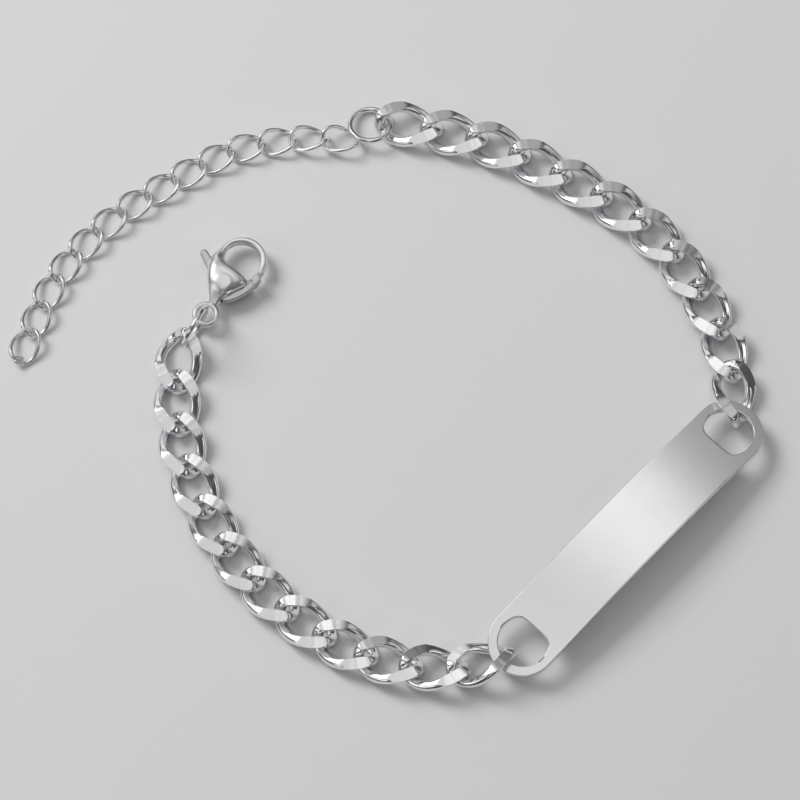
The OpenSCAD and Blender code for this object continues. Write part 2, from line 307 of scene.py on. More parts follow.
def new_piece(
    name: str,
    points: np.ndarray,
    faces: np.ndarray | list[list[int]],
    finish: SteelFinish,
    replaces: str,
    body: str = BODY,
    crease: float = PLAIN_CREASE,
) -> bpy.types.Object:
    """Make a smooth-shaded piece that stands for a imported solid.

    Args:
        name: Name of the piece.
        points: Corners in millimetres, in the bracelet's own frame.
        faces: Faces that point outwards.
        finish: Finish that the piece takes.
        replaces: Node that the piece stands for.
        body: Body that the piece rides on.
        crease: Angle in degrees from which an edge stays sharp.

    Returns:
        The new object.
    """
    mesh = bpy.data.meshes.new(name)
    face_list = faces.tolist() if isinstance(faces, np.ndarray) else faces
    mesh.from_pydata((points * MM).tolist(), [], face_list)
    mesh.polygons.foreach_set("use_smooth", np.ones(len(mesh.polygons), dtype=bool))
    mesh.set_sharp_from_angle(angle=math.radians(crease))
    mesh.materials.append(finish.material())
    piece = add_object(name, mesh)
    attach(piece, body)
    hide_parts(replaces)
    return piece


def even_steps(points: np.ndarray, count: int, closed: bool) -> np.ndarray:
    """Space points evenly along a line.

    Args:
        points: A dense line, one point a row.
        count: Number of points wanted.
        closed: Whether the line runs back to its start.

    Returns:
        The evenly spaced points.
    """
    line = np.vstack([points, points[:1]]) if closed else points
    run = np.concatenate([[0.0], np.cumsum(np.linalg.norm(np.diff(line, axis=0), axis=1))])
    at = np.linspace(0.0, run[-1], count, endpoint=not closed)
    return np.stack([np.interp(at, run, line[:, k]) for k in range(3)], axis=1)


@dataclass(frozen=True)
class Placement:
    """Where a piece lies: its middle and its own three axes, as rows."""

    centre: np.ndarray
    axes: np.ndarray

    @classmethod
    def of_node(cls, node: str) -> Placement:
        """Find how a twisted link or a ring lies from the spread of its corners.

        The axes are the principal ones of the corners, longest first. A curb link is the same
        after a half turn about each of them, so their signs don't matter.

        Args:
            node: Name of the node.

        Returns:
            The placement.
        """
        points = node_points(node)
        centre = points.mean(axis=0)
        _, vectors = np.linalg.eigh(np.cov((points - centre).T))
        length, width = vectors[:, 2], vectors[:, 1]
        return cls(centre, np.stack([length, width, np.cross(length, width)]))

    @classmethod
    def flat(cls, centre: np.ndarray, heading: float) -> Placement:
        """Place a piece flat, its length turned by heading degrees from +X."""
        c, s = math.cos(math.radians(heading)), math.sin(math.radians(heading))
        return cls(centre, np.array([[c, s, 0.0], [-s, c, 0.0], [0.0, 0.0, 1.0]]))

    def put(self, points: np.ndarray) -> np.ndarray:
        """Carry points from the piece's own axes into the bracelet's frame."""
        return self.centre + points @ self.axes


# Finishes

# Turn in radians and stretch of each set of hairline marks
MARK_DIRECTIONS = ((0.4, 14.0), (-0.9, 9.0))
MARK_DETAIL = 3.0
SMUDGE_DETAIL = 4.0
SMUDGE_ROUGHNESS = 0.6
# The part of the smudge noise that runs from bright to dull
SMUDGE_FROM, SMUDGE_TO = 0.3, 0.7
# Depth of the marks at full strength, in metres
MARK_DISTANCE = 0.02 * MM


class Slot(Enum):
    """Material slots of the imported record."""

    PLATE = "plate_steel"
    CHAIN = "polished_steel"
    EXTENDER = "extender_steel"


class Sockets:
    """Small helper that adds nodes to a tree and joins them."""

    def __init__(self, tree: bpy.types.NodeTree) -> None:
        """Keep the tree that nodes are added to."""
        self.tree = tree

    def add(
        self, kind: str, inputs: dict[str, object] | None = None, **values: object
    ) -> bpy.types.Node:
        """Add a node.

        Args:
            kind: Blender's name for the node type.
            inputs: Constants of its inputs.
            **values: Properties to set on it.

        Returns:
            The new node.
        """
        node = self.tree.nodes.new(kind)
        for key, value in values.items():
            setattr(node, key, value)
        for label, constant in (inputs or {}).items():
            node.inputs[label].default_value = constant
        return node

    def join(self, source: bpy.types.NodeSocket, target: bpy.types.NodeSocket) -> None:
        """Link one socket to another."""
        self.tree.links.new(source, target)


def polish_group() -> bpy.types.NodeTree:
    """Build the shared effect of polished steel: hairline marks and soft smudges.

    Marks are two noises, each turned and stretched its own way, added up. Smudges are one large
    noise. Both read Object coordinates in metres.

    Returns:
        The node group, with inputs Mark Scale, Mark Depth and Smudge Scale, and outputs Height
        and Smudge.
    """
    name = "polish_marks"
    if name in bpy.data.node_groups:
        return bpy.data.node_groups[name]
    tree = bpy.data.node_groups.new(name, "ShaderNodeTree")
    face = tree.interface
    for label in ("Mark Scale", "Mark Depth", "Smudge Scale"):
        face.new_socket(label, in_out="INPUT", socket_type="NodeSocketFloat")
    for label in ("Height", "Smudge"):
        face.new_socket(label, in_out="OUTPUT", socket_type="NodeSocketFloat")
    build = Sockets(tree)
    given, result = build.add("NodeGroupInput"), build.add("NodeGroupOutput")
    coords = build.add("ShaderNodeTexCoord")
    heights = []
    for turn, stretch in MARK_DIRECTIONS:
        turned = {"Rotation": (0.0, 0.0, turn), "Scale": (1.0, stretch, stretch)}
        place = build.add("ShaderNodeMapping", turned)
        build.join(coords.outputs["Object"], place.inputs["Vector"])
        noise = build.add("ShaderNodeTexNoise", {"Detail": MARK_DETAIL})
        build.join(place.outputs["Vector"], noise.inputs["Vector"])
        build.join(given.outputs["Mark Scale"], noise.inputs["Scale"])
        heights.append(noise.outputs["Fac"])
    total = build.add("ShaderNodeMath", operation="ADD")
    build.join(heights[0], total.inputs[0])
    build.join(heights[1], total.inputs[1])
    depth = build.add("ShaderNodeMath", operation="MULTIPLY")
    build.join(total.outputs[0], depth.inputs[0])
    build.join(given.outputs["Mark Depth"], depth.inputs[1])
    build.join(depth.outputs[0], result.inputs["Height"])
    cloudy = {"Detail": SMUDGE_DETAIL, "Roughness": SMUDGE_ROUGHNESS}
    smudge = build.add("ShaderNodeTexNoise", cloudy)
    build.join(coords.outputs["Object"], smudge.inputs["Vector"])
    build.join(given.outputs["Smudge Scale"], smudge.inputs["Scale"])
    build.join(smudge.outputs["Fac"], result.inputs["Smudge"])
    return tree


@dataclass(frozen=True)
class SteelFinish:
    """A polished stainless steel finish.

    Its colour runs from bright to dull and its roughness from gloss to haze.
    """

    name: str
    slot: Slot
    bright: tuple[float, float, float]
    dull: tuple[float, float, float]
    gloss: float
    haze: float
    mark_scale: float = 900.0
    mark_depth: float = 0.5
    smudge_scale: float = 160.0
    bump: float = 0.05

    def material(self) -> bpy.types.Material:
        """Build the finish's material once and return it.

        Smudges move the colour from bright to dull and the roughness from gloss to haze. Marks
        feed a very shallow bump.

        Returns:
            The material.
        """
        if self.name in bpy.data.materials:
            return bpy.data.materials[self.name]
        material = bpy.data.materials.new(self.name)
        material.use_nodes = True
        tree = material.node_tree
        build = Sockets(tree)
        shader = tree.nodes["Principled BSDF"]
        shader.inputs["Metallic"].default_value = 1.0
        marks = build.add("ShaderNodeGroup", node_tree=polish_group())
        marks.inputs["Mark Scale"].default_value = self.mark_scale
        marks.inputs["Mark Depth"].default_value = self.mark_depth
        marks.inputs["Smudge Scale"].default_value = self.smudge_scale
        ramp = build.add("ShaderNodeMapRange", {"From Min": SMUDGE_FROM, "From Max": SMUDGE_TO})
        build.join(marks.outputs["Smudge"], ramp.inputs["Value"])
        tones = {"A": (*self.bright, 1.0), "B": (*self.dull, 1.0)}
        colour = build.add("ShaderNodeMix", tones, data_type="RGBA")
        build.join(ramp.outputs["Result"], colour.inputs["Factor"])
        build.join(colour.outputs["Result"], shader.inputs["Base Color"])
        rough = build.add("ShaderNodeMapRange", {"To Min": self.gloss, "To Max": self.haze})
        build.join(ramp.outputs["Result"], rough.inputs["Value"])
        build.join(rough.outputs["Result"], shader.inputs["Roughness"])
        bump = build.add("ShaderNodeBump", {"Strength": self.bump, "Distance": MARK_DISTANCE})
        build.join(marks.outputs["Height"], bump.inputs["Height"])
        build.join(bump.outputs["Normal"], shader.inputs["Normal"])
        return material


PLATE_FINISH = SteelFinish(
    name="plate_polish", slot=Slot.PLATE, bright=(0.86, 0.86, 0.86), dull=(0.84, 0.84, 0.845),
    gloss=0.20, haze=0.22, mark_depth=0.6,
)
CHAIN_FINISH = SteelFinish(
    name="chain_polish", slot=Slot.CHAIN, bright=(0.92, 0.92, 0.93), dull=(0.85, 0.85, 0.865),
    gloss=0.13, haze=0.20, mark_scale=5000.0, bump=0.22,
)
EXTENDER_FINISH = SteelFinish(
    name="extender_polish", slot=Slot.EXTENDER, bright=(0.93, 0.93, 0.94),
    dull=(0.87, 0.87, 0.885), gloss=0.22, haze=0.30,
)
CLASP_FINISH = SteelFinish(
    name="clasp_polish", slot=Slot.CHAIN, bright=(0.92, 0.92, 0.925), dull=(0.87, 0.87, 0.88),
    gloss=0.30, haze=0.36,
)
# The lever is the clasp's steel painted darker: painted shade of the slot between the cheeks that
# it lies in
LEVER_PAINTED_SHADE_FINISH = SteelFinish(
    name="lever_polish_painted_shade", slot=Slot.CHAIN, bright=(0.66, 0.66, 0.67), dull=(0.60, 0.60, 0.615),
    gloss=0.26, haze=0.34,
)


# Chains

# Round end of an open wire: first angle in radians, sections, and how nearly it closes
CAP_FIRST, CAP_STEPS, CAP_SHARE = 0.12, 6, 0.998
# An open link bends along the last part of its wire, by these shares of its end step
END_BEND_FROM, OUTER_SHARE, INNER_SHARE = 0.72, 0.1, -0.9


@dataclass(frozen=True)
class LinkForm:
    """Form of one curb link, in its own axes.

    Its middle line is a squared oval whose ends are twisted opposite ways about its length. A
    round wire follows it, ground flat on both faces where height is over zero. The ground faces
    lean outwards by facet_lean degrees from facet_at millimetres off the middle, and change sides
    within about hand_over millimetres of it. A shallower flat, flat_at of the radius from the
    wire's middle, carries on from them along the strands. blend rounds the change from one to the
    other. depth is the link's whole height in its own axes, and square the oval's power.
    """

    length: float
    width: float
    wire: float
    twist: float
    depth: float
    square: float = 2.4
    height: float = 0.0
    facet_lean: float = 0.0
    facet_at: float = 1.5
    hand_over: float = 0.4
    flat_at: float = 0.93
    blend: float = 0.28
    chord_limits: tuple[float, float] = (0.04, 1.3)
    steps: int = 112
    facet_steps: int = 5
    arc_steps: int = 9

    def middle_line(self, turn: np.ndarray) -> np.ndarray:
        """Give the middle line at angles round the oval.

        x and y are a superellipse, and y is then turned about x by an angle that grows along x.

        Args:
            turn: Angles in radians.

        Returns:
            Points, one a row.
        """
        half_length, half_width = (self.length - self.wire) / 2, (self.width - self.wire) / 2
        power = 2 / self.square
        x = half_length * np.sign(np.cos(turn)) * np.abs(np.cos(turn)) ** power
        y = half_width * np.sign(np.sin(turn)) * np.abs(np.sin(turn)) ** power
        lean = -math.radians(self.twist) * x / half_length
        return np.stack([x, y * np.cos(lean), y * np.sin(lean)], axis=1)

    def facet(
        self, line: np.ndarray, across: np.ndarray, up: np.ndarray, side: int
    ) -> tuple[np.ndarray, np.ndarray]:
        """Find where a ground face cuts each section of the wire.

        In the plane of a section the face is a straight chord. Its direction is the angle of the
        face's normal there, and its half-angle is the arc cosine of its distance over the radius.
        The distance is the smooth least of the ground face's and of flat_at. The half-angle is
        kept within chord_limits, so that no side of the section closes up.

        Args:
            line: Middle line.
            across: Level direction of each section.
            up: Upward direction of each section.
            side: 1 for the top face and -1 for the bottom one.

        Returns:
            The angle of the chord's normal and the chord's half-angle, for each section.
        """
        slope = math.tan(math.radians(self.facet_lean))
        hand = np.tanh(line[:, 1] / self.hand_over)
        q = side * up[:, 2] + slope * hand * up[:, 1]
        p = slope * hand * across[:, 1]
        reach = self.height / 2 + slope * (self.facet_at - hand * line[:, 1]) - side * line[:, 2]
        distance = reach / np.hypot(p, q) / (self.wire / 2)
        near, far = np.exp(-distance / self.blend), math.exp(-self.flat_at / self.blend)
        least = np.clip(-self.blend * np.log(near + far), -1, 1)
        return np.arctan2(q, p), np.clip(np.arccos(least), *self.chord_limits)

    def section(self, line: np.ndarray, across: np.ndarray, up: np.ndarray) -> np.ndarray:
        """Give each section's outline in its own plane.

        A round wire is a plain circle. A ground one is two chords and the two arcs between them.

        Args:
            line: Middle line.
            across: Level direction of each section.
            up: Upward direction of each section.

        Returns:
            Points with one row of (across, up) pairs for each section.
        """
        radius = self.wire / 2
        if not self.height:
            angle = np.linspace(0, 2 * np.pi, 2 * self.arc_steps, endpoint=False)
            circle = radius * np.stack([np.cos(angle), np.sin(angle)], axis=-1)
            return np.broadcast_to(circle, (len(line), *circle.shape))
        top, top_half = self.facet(line, across, up, 1)
        low, low_half = self.facet(line, across, up, -1)
        low = np.where(low < top, low + 2 * np.pi, low)
        share = np.linspace(0, 1, self.facet_steps)[None, :, None]
        arc_share = np.linspace(0, 1, self.arc_steps + 2)[1:-1][None, :]
        parts = []
        for start, half, end in (
            (top, top_half, low - low_half),
            (low, low_half, top - top_half + 2 * np.pi),
        ):
            first, last = (start - half)[:, None], (start + half)[:, None]
            ends = [np.stack([np.cos(a), np.sin(a)], axis=-1) for a in (first, last)]
            parts.append(radius * (ends[0] * (1 - share) + ends[1] * share))
            angle = last + (end[:, None] - last) * arc_share
            parts.append(radius * np.stack([np.cos(angle), np.sin(angle)], axis=-1))
        return np.concatenate(parts, axis=1)

    def wire_along(self, line: np.ndarray, closed: bool) -> tuple[np.ndarray, np.ndarray]:
        """Carry the section along a middle line.

        Each section stands square to the line, with one direction level. An open line gets a
        half-round end, drawn as a few shrinking sections.

        Args:
            line: Middle line.
            closed: Whether the line runs back to its start.

        Returns:
            Corners and outward faces.
        """
        if closed:
            ahead = unit(np.roll(line, -1, axis=0) - np.roll(line, 1, axis=0))
        else:
            ahead = unit(np.gradient(line, axis=0))
        across = unit(np.stack([ahead[:, 1], -ahead[:, 0], np.zeros(len(line))], axis=1))
        up = np.cross(across, ahead)
        outline = self.section(line, across, up)
        grid = line[:, None] + outline[..., :1] * across[:, None] + outline[..., 1:] * up[:, None]
        if not closed:
            angle = np.linspace(CAP_FIRST, np.pi / 2, CAP_STEPS)[:, None, None]
            caps = []
            for end, way in ((0, -1), (-1, 1)):
                ring = (grid[end] - line[end]) * np.cos(angle * CAP_SHARE)
                cap = line[end] + ring + way * ahead[end] * np.sin(angle) * self.wire / 2
                caps.append(cap[::-1] if way < 0 else cap)
            grid = np.concatenate([caps[0], grid, caps[1]])
        rows, columns = grid.shape[:2]
        points = grid.reshape(-1, 3)
        faces = grid_faces(rows, columns, closed_rows=closed, closed_columns=True)
        return points, outward(points, faces)

    def closed_link(self) -> tuple[np.ndarray, np.ndarray]:
        """Make the whole closed link in its own axes, brought to its depth by an even scale.

        Returns:
            Corners and outward faces.
        """
        line = self.middle_line(np.linspace(0, 2 * np.pi, DENSE, endpoint=False))
        points, faces = self.wire_along(even_steps(line, self.steps, True), True)
        points[:, 2] *= self.depth / np.ptp(points[:, 2])
        return points, faces

    def open_link(self, overlap: float, step: float) -> tuple[np.ndarray, np.ndarray]:
        """Make the link with its wire ends side by side at the far end.

        The wire goes a little more than once round, and near its ends it is pushed along the
        link by a square law, a little outwards at one end and further inwards at the other.

        Args:
            overlap: How far each end runs past the middle, in degrees.
            step: How far the inner end lies from the outer one.

        Returns:
            Corners and outward faces.
        """
        share = np.linspace(0, 1, DENSE)
        line = self.middle_line(np.radians(-overlap + (360 + 2 * overlap) * share))
        bend = np.maximum(0, np.abs(2 * share - 1) - END_BEND_FROM) / (1 - END_BEND_FROM)
        line[:, 0] += np.where(share < 0.5, OUTER_SHARE, INNER_SHARE) * step * bend**2
        return self.wire_along(even_steps(line, self.steps, False), False)


@dataclass
class Chain:
    """A run of links that all have one form and one finish."""

    prefix: str
    count: int
    form: LinkForm
    finish: SteelFinish

    def build(self) -> None:
        """Make each link where its solid lies."""
        points, faces = self.form.closed_link()
        for number in range(1, self.count + 1):
            node = f"{self.prefix}_{number:02d}"
            placed = Placement.of_node(node).put(points)
            new_piece(f"{node}_polished", placed, faces, self.finish, node, crease=LINK_CREASE)
        LOG.info("%s: %d links", self.prefix, self.count)


@dataclass
class Extender:
    """The thin curb chain, whose last link is open at its free end."""

    form: LinkForm
    closed_count: int = 13
    overlap: float = 8.0
    end_step: float = 0.62

    def build(self) -> None:
        """Make the closed links and the open one, which fills its solid's height."""
        Chain("extender_link", self.closed_count, self.form, EXTENDER_FINISH).build()
        last, before = (f"extender_link_{self.closed_count + k:02d}" for k in (1, 0))
        points, faces = self.form.open_link(self.overlap, self.end_step)
        place = Placement.of_node(last)
        # Half turns point the link's length away from the chain, and then its third axis upwards
        away = place.centre - Placement.of_node(before).centre
        if place.axes[0] @ away < 0:
            place = Placement(place.centre, place.axes * np.array([[-1.0], [-1.0], [1.0]]))
        if place.axes[2, 2] < 0:
            place = Placement(place.centre, place.axes * np.array([[1.0], [-1.0], [-1.0]]))
        points = place.put(points - points.mean(axis=0))
        (_, _, low), (_, _, high) = np.array(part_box(last)) / MM
        above = points[:, 2] - points[:, 2].min()
        points[:, 2] = low + above * (high - low) / np.ptp(points[:, 2])
        new_piece(f"{last}_polished", points, faces, EXTENDER_FINISH, last)
        LOG.info("extender: open end link")


@dataclass
class WireRing:
    """A round ring of round wire."""

    node: str
    outer: float
    wire: float
    finish: SteelFinish
    steps: int = 160
    sides: int = 32

    def build(self) -> None:
        """Make the ring where its solid lies."""
        points, faces = torus(self.outer, self.wire, self.steps, self.sides)
        box = np.array(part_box(self.node)) / MM
        place = Placement(box.mean(axis=0), Placement.of_node(self.node).axes)
        new_piece(f"{self.node}_polished", place.put(points), faces, self.finish, self.node)
        LOG.info("%s: %.2f mm across", self.node, self.outer)


# Plate


@dataclass
class IdPlate:
    """The arched plate with a round end and a D-shaped slot at each side.

    slot_reach is how far the slot's straight side lies inwards of the round end's middle, and
    slot_square is how sharp its two corners are. bend is the radius of the plate's underside, and
    neck is how far the patch round a slot runs in. bevel_from and heading_step are in degrees.
    least_share keeps a division away from zero.
    """

    length: float = 38.0
    width: float = 7.2
    thickness: float = 0.85
    rim: float = 1.0
    slot_reach: float = 1.8
    slot_square: float = 10.0
    bend: float = 105.0
    bevel: float = 0.12
    bevel_steps: int = 3
    bevel_from: float = 40.0
    neck: float = 4.6
    heading_step: float = 0.05
    least_share: float = 1e-3
    end_steps: int = 64
    side_steps: int = 14
    across_steps: int = 33
    ring_steps: int = 12
    length_steps: int = 60

    def slot_radius(self, angle: np.ndarray) -> np.ndarray:
        """Give the slot's outline as a distance from the middle of the plate's round end.

        It is the smooth least of a circle and a straight line across the plate, which rounds the
        two corners where they meet.

        Args:
            angle: Angles in radians from the plate's outward direction.

        Returns:
            Distances in millimetres.
        """
        bore = self.width / 2 - self.rim
        inward = np.maximum(-np.cos(angle), self.least_share) / self.slot_reach
        return (bore**-self.slot_square + inward**self.slot_square) ** (-1 / self.slot_square)

    def end_patch(self) -> tuple[np.ndarray, np.ndarray]:
        """Make the flat ring of surface around one slot, about the middle of the round end.

        Straight lines run from the slot's outline to the outer border, which is a half circle,
        two sides and a line across the plate.

        Returns:
            Points in the plane and faces.
        """
        half = self.width / 2
        turn = np.linspace(-np.pi / 2, np.pi / 2, self.end_steps + 1)
        back = np.linspace(0, -self.neck, self.side_steps + 1)[1:]
        side = np.linspace(half, -half, self.across_steps)[1:]
        border = np.concatenate([
            half * np.stack([np.cos(turn), np.sin(turn)], axis=1),
            np.stack([back, np.full(len(back), half)], axis=1),
            np.stack([np.full(len(side), -self.neck), side], axis=1),
            np.stack([back[::-1][1:], np.full(len(back) - 1, -half)], axis=1),
        ])
        angle = np.arctan2(border[:, 1], border[:, 0])
        inner = self.slot_radius(angle)[:, None] * np.stack([np.cos(angle), np.sin(angle)], axis=1)
        share = np.linspace(0, 1, self.ring_steps)[:, None, None]
        grid = inner * (1 - share) + border * share
        faces = grid_faces(self.ring_steps, len(border), closed_columns=True)
        return grid.reshape(-1, 2), faces

    def build(self) -> None:
        """Make the plate where its solid lies.

        The middle surface is two end patches and a plain strip, arched as part of a cylinder.
        Solidify gives it its thickness, and Bevel breaks its edges.
        """
        centre_at = (self.length - self.width) / 2
        ring, ring_faces = self.end_patch()
        x = np.linspace(-(centre_at - self.neck), centre_at - self.neck, self.length_steps)
        y = np.linspace(-self.width / 2, self.width / 2, self.across_steps)
        strip = np.stack(np.meshgrid(x, y, indexing="ij"), axis=-1).reshape(-1, 2)
        strip_faces = grid_faces(len(x), len(y))
        flat = np.concatenate([ring + [centre_at, 0], -ring - [centre_at, 0], strip])
        faces = np.concatenate([ring_faces, ring_faces + len(ring), strip_faces + 2 * len(ring)])
        middle = self.bend + self.thickness / 2
        foot = math.sqrt(self.bend**2 - (self.length / 2) ** 2)
        height = np.sqrt(middle**2 - flat[:, 0] ** 2) - foot
        points, faces = merged(np.column_stack([flat, height]), faces)
        low, high = (np.array(corner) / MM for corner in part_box("id_plate"))
        centre = np.array([(low[0] + high[0]) / 2, (low[1] + high[1]) / 2, low[2]])
        put = Placement.flat(centre, self.heading())
        piece = new_piece("id_plate_polished", put.put(points), faces, PLATE_FINISH, "id_plate")
        wall = piece.modifiers.new("thickness", "SOLIDIFY")
        wall.thickness, wall.offset = self.thickness * MM, 0.0
        edge = piece.modifiers.new("broken_edges", "BEVEL")
        edge.width, edge.segments, edge.limit_method = self.bevel * MM, self.bevel_steps, "ANGLE"
        edge.angle_limit = math.radians(self.bevel_from)
        LOG.info("id_plate: %.1f by %.1f mm", self.length, self.width)

    def heading(self) -> float:
        """Find the direction that the plate's solid lies along, across which it is narrowest.

        Returns:
            The heading in degrees from +X.
        """
        points = node_points("id_plate")[:, :2]
        angle = np.radians(np.arange(0, 180, self.heading_step))
        across = points @ np.stack([-np.sin(angle), np.cos(angle)])
        return float(np.degrees(angle[np.argmin(np.ptp(across, axis=0))]))


# Clasp


@dataclass
class LobsterClasp:
    """The lobster clasp, drawn flat with its eye at the origin and its hook along +X.

    Angles are in degrees, and sizes in millimetres. The hook runs from hook_start to hook_tip, and
    near its start up to hook_slimming of its wire is left off inside. The nose moves within
    nose_sweep about the pin. Its outline is two arcs about the pin with a point after each.
    """

    reach: float = 7.0
    hook_bore: float = 1.9
    hook_wire: float = 0.72
    hook_half: float = 0.65
    hook_tip: float = -112.0
    eye_outer: float = 2.9
    eye_wire: float = 0.65
    eye_steps: int = 96
    eye_sides: int = 28
    hook_start: float = 86.0
    hook_step: float = 18.0
    hook_slimming: float = 0.16
    pin: tuple[float, float] = (3.3, -0.6)
    pin_radius: float = 0.45
    pin_length: float = 1.8
    pin_gap: float = 0.02
    lever_pin_gap: float = 0.04
    pin_sides: int = 36
    boss: tuple[float, float] = (3.55, 0.1)
    boss_radius: float = 0.95
    boss_height: float = 0.09
    boss_power: int = 10
    fullness: float = 3.0
    body_steps: int = 8
    body_sides: int = 64
    lever_thick: float = 0.8
    lever_gap: float = 0.1
    nose_thick: float = 1.3
    nose_from: float = 2.7
    nose_to: float = 3.68
    nose_sweep: tuple[float, float] = (-75.0, 35.0)
    sweep_steps: int = 60
    nose_top: tuple[float, float] = (-37.0, -25.5)
    nose_tip: tuple[float, float] = (5.90, -1.93)
    nose_low: tuple[float, float] = (-29.0, -47.0)
    nose_heel: tuple[float, float] = (5.50, -2.75)
    nose_steps: int = 8
    nose_step: float = 0.02
    nose_edge: float = 0.08
    edge: float = 0.18
    cut_height: float = 5.0
    lever_steps: int = 5
    # Left edge x and y, right edge x and y, and half thickness, from the neck to the hook
    stations: tuple[tuple[float, ...], ...] = (
        (1.02, 0.30, 1.02, -0.30, 0.25),
        (1.30, 0.48, 1.30, -0.50, 0.42),
        (1.75, 0.72, 1.75, -0.59, 0.58),
        (2.38, 1.26, 2.34, -0.76, 0.82),
        (3.22, 1.96, 3.08, -1.10, 1.12),
        (4.08, 2.48, 3.97, -1.58, 1.30),
        (4.77, 2.76, 4.61, -1.90, 1.34),
        (5.23, 2.88, 5.11, -1.86, 1.30),
        (5.60, 2.95, 5.40, -1.48, 1.20),
        (5.91, 2.97, 5.45, -0.55, 1.08),
        (6.18, 2.93, 5.57, 0.33, 0.95),
        (6.48, 2.84, 5.86, 1.15, 0.82),
        (6.78, 2.72, 6.36, 1.74, 0.72),
    )
    # Outline of the lever, from the tab's tip round by the nose
    lever_points: tuple[tuple[float, float], ...] = (
        (5.62, 4.26), (5.34, 4.10), (4.90, 3.40), (4.20, 2.40), (3.30, 1.00), (2.60, 0.05),
        (2.15, -0.80), (2.60, -1.45), (3.37, -2.02), (4.10, -2.37), (4.81, -2.60), (5.50, -2.76),
        (6.18, -2.80), (6.42, -2.52), (6.56, -2.20), (5.90, -1.95), (5.20, -1.55), (4.55, -0.90),
        (4.30, 0.00), (4.50, 0.85), (4.98, 1.90), (5.70, 3.10), (6.03, 3.78), (5.92, 4.12),
    )
    # Space for the lever between the cheeks
    slot_points: tuple[tuple[float, float], ...] = (
        (7.0, -4.0), (7.0, 0.4), (4.9, 0.4), (4.9, 0.9), (5.3, 2.1), (6.0, 3.2),
        (6.0, 6.0), (1.9, 6.0), (1.9, 2.0), (2.3, 0.6), (1.9, -0.1), (1.9, -2.5),
    )

    def placement(self) -> Placement:
        """Find the clasp's eye and heading from the hook's mount and the lever's joint.

        Returns:
            The placement, with the eye's middle as its centre.
        """
        record = frame["record"]
        mount = next(m for m in record["mounts"] if m["name"] == "clasp_hook")
        hook = np.array(mount["pos_m"]) / MM
        pin = np.array(record["behaviour"]["joints"][0]["pos_m"]) / MM
        away = hook - pin
        drawn = math.atan2(-self.pin[1], self.reach - self.pin[0])
        heading = math.atan2(away[1], away[0]) - drawn
        eye = hook - self.reach * np.array([math.cos(heading), math.sin(heading), 0.0])
        return Placement.flat(eye, math.degrees(heading))

    def around_pin(self, radius: float, first: float, last: float, steps: int) -> np.ndarray:
        """Give points on a circle about the pin, between two angles in degrees."""
        angle = np.radians(np.linspace(first, last, steps))
        return np.array(self.pin) + radius * np.stack([np.cos(angle), np.sin(angle)], axis=1)

    def pin_bore(self, gap: float) -> tuple[np.ndarray, list[list[int]]]:
        """Make the plain cylinder of space that the rivet needs.

        Args:
            gap: Gap all round the rivet.

        Returns:
            Corners and outward faces.
        """
        radius, last = self.pin_radius + gap, 360 - 360 / self.pin_sides
        circle = self.around_pin(radius, 0, last, self.pin_sides)
        return rounded_slab(circle, self.pin_length + 2 * gap, 0.0)

    def body_surface(self) -> tuple[np.ndarray, list[list[int]]]:
        """Make the cast body and its hook as one swept surface.

        A section spans from the left edge to the right one. Round it, the share across is
        cos(a) and the height is the half thickness times sin(a), both to the power 2 / fullness
        with their signs kept. A low round boss is added on both cheeks.

        Returns:
            Corners and outward faces.
        """
        turn = np.radians(np.arange(self.hook_start, self.hook_tip - 1, -self.hook_step))
        way = np.stack([np.cos(turn), np.sin(turn)], axis=1)
        middle = np.array([self.reach, 0.0])
        slim = 1 - self.hook_slimming * np.clip(np.sin(turn), 0, 1)
        outer = middle + (self.hook_bore + self.hook_wire) * way
        inner = middle + (self.hook_bore + self.hook_wire * (1 - slim))[:, None] * way
        hook = np.column_stack([outer, inner, np.full(len(turn), self.hook_half)])
        rows = smooth_through(np.vstack([self.stations, hook]), self.body_steps, closed=False)
        angle = np.linspace(0, 2 * np.pi, self.body_sides, endpoint=False)[None, :, None]
        left, right, half = rows[:, None, 0:2], rows[:, None, 2:4], rows[:, None, 4:5]
        power = 2 / self.fullness
        share = np.sign(np.cos(angle)) * np.abs(np.cos(angle)) ** power
        height = half * np.sign(np.sin(angle)) * np.abs(np.sin(angle)) ** power
        flat = (left + right) / 2 + (left - right) / 2 * share
        off = np.linalg.norm(flat - np.array(self.boss), axis=2, keepdims=True) / self.boss_radius
        height = height + self.boss_height * np.sign(height) / (1 + off**self.boss_power)
        grid = np.concatenate([flat, height], axis=2)
        return grid.reshape(-1, 3), closed_tube(*grid.shape[:2])

    def build_body(self, place: Placement) -> None:
        """Make the body with its eye, and cut out the lever's slot, the nose's path and the bore.

        Args:
            place: Where the clasp lies.
        """
        ring, ring_faces = torus(self.eye_outer, self.eye_wire, self.eye_steps, self.eye_sides)
        points, faces = joined(self.body_surface(), (ring, ring_faces.tolist()))
        placed = place.put(points)
        piece = new_piece("clasp_body_polished", placed, faces, CLASP_FINISH, "clasp_body")
        slot = rounded_slab(np.array(self.slot_points), self.lever_thick + 2 * self.lever_gap, 0.0)
        sweep = np.vstack([
            self.around_pin(self.nose_to + self.lever_gap, *self.nose_sweep, self.sweep_steps),
            self.around_pin(
                self.nose_from - self.lever_gap, *self.nose_sweep[::-1], self.sweep_steps
            ),
        ])
        path = rounded_slab(sweep, self.cut_height, 0.0)
        cuts = (slot, path, self.pin_bore(self.pin_gap))
        carve(piece, [(place.put(corners), sides) for corners, sides in cuts])

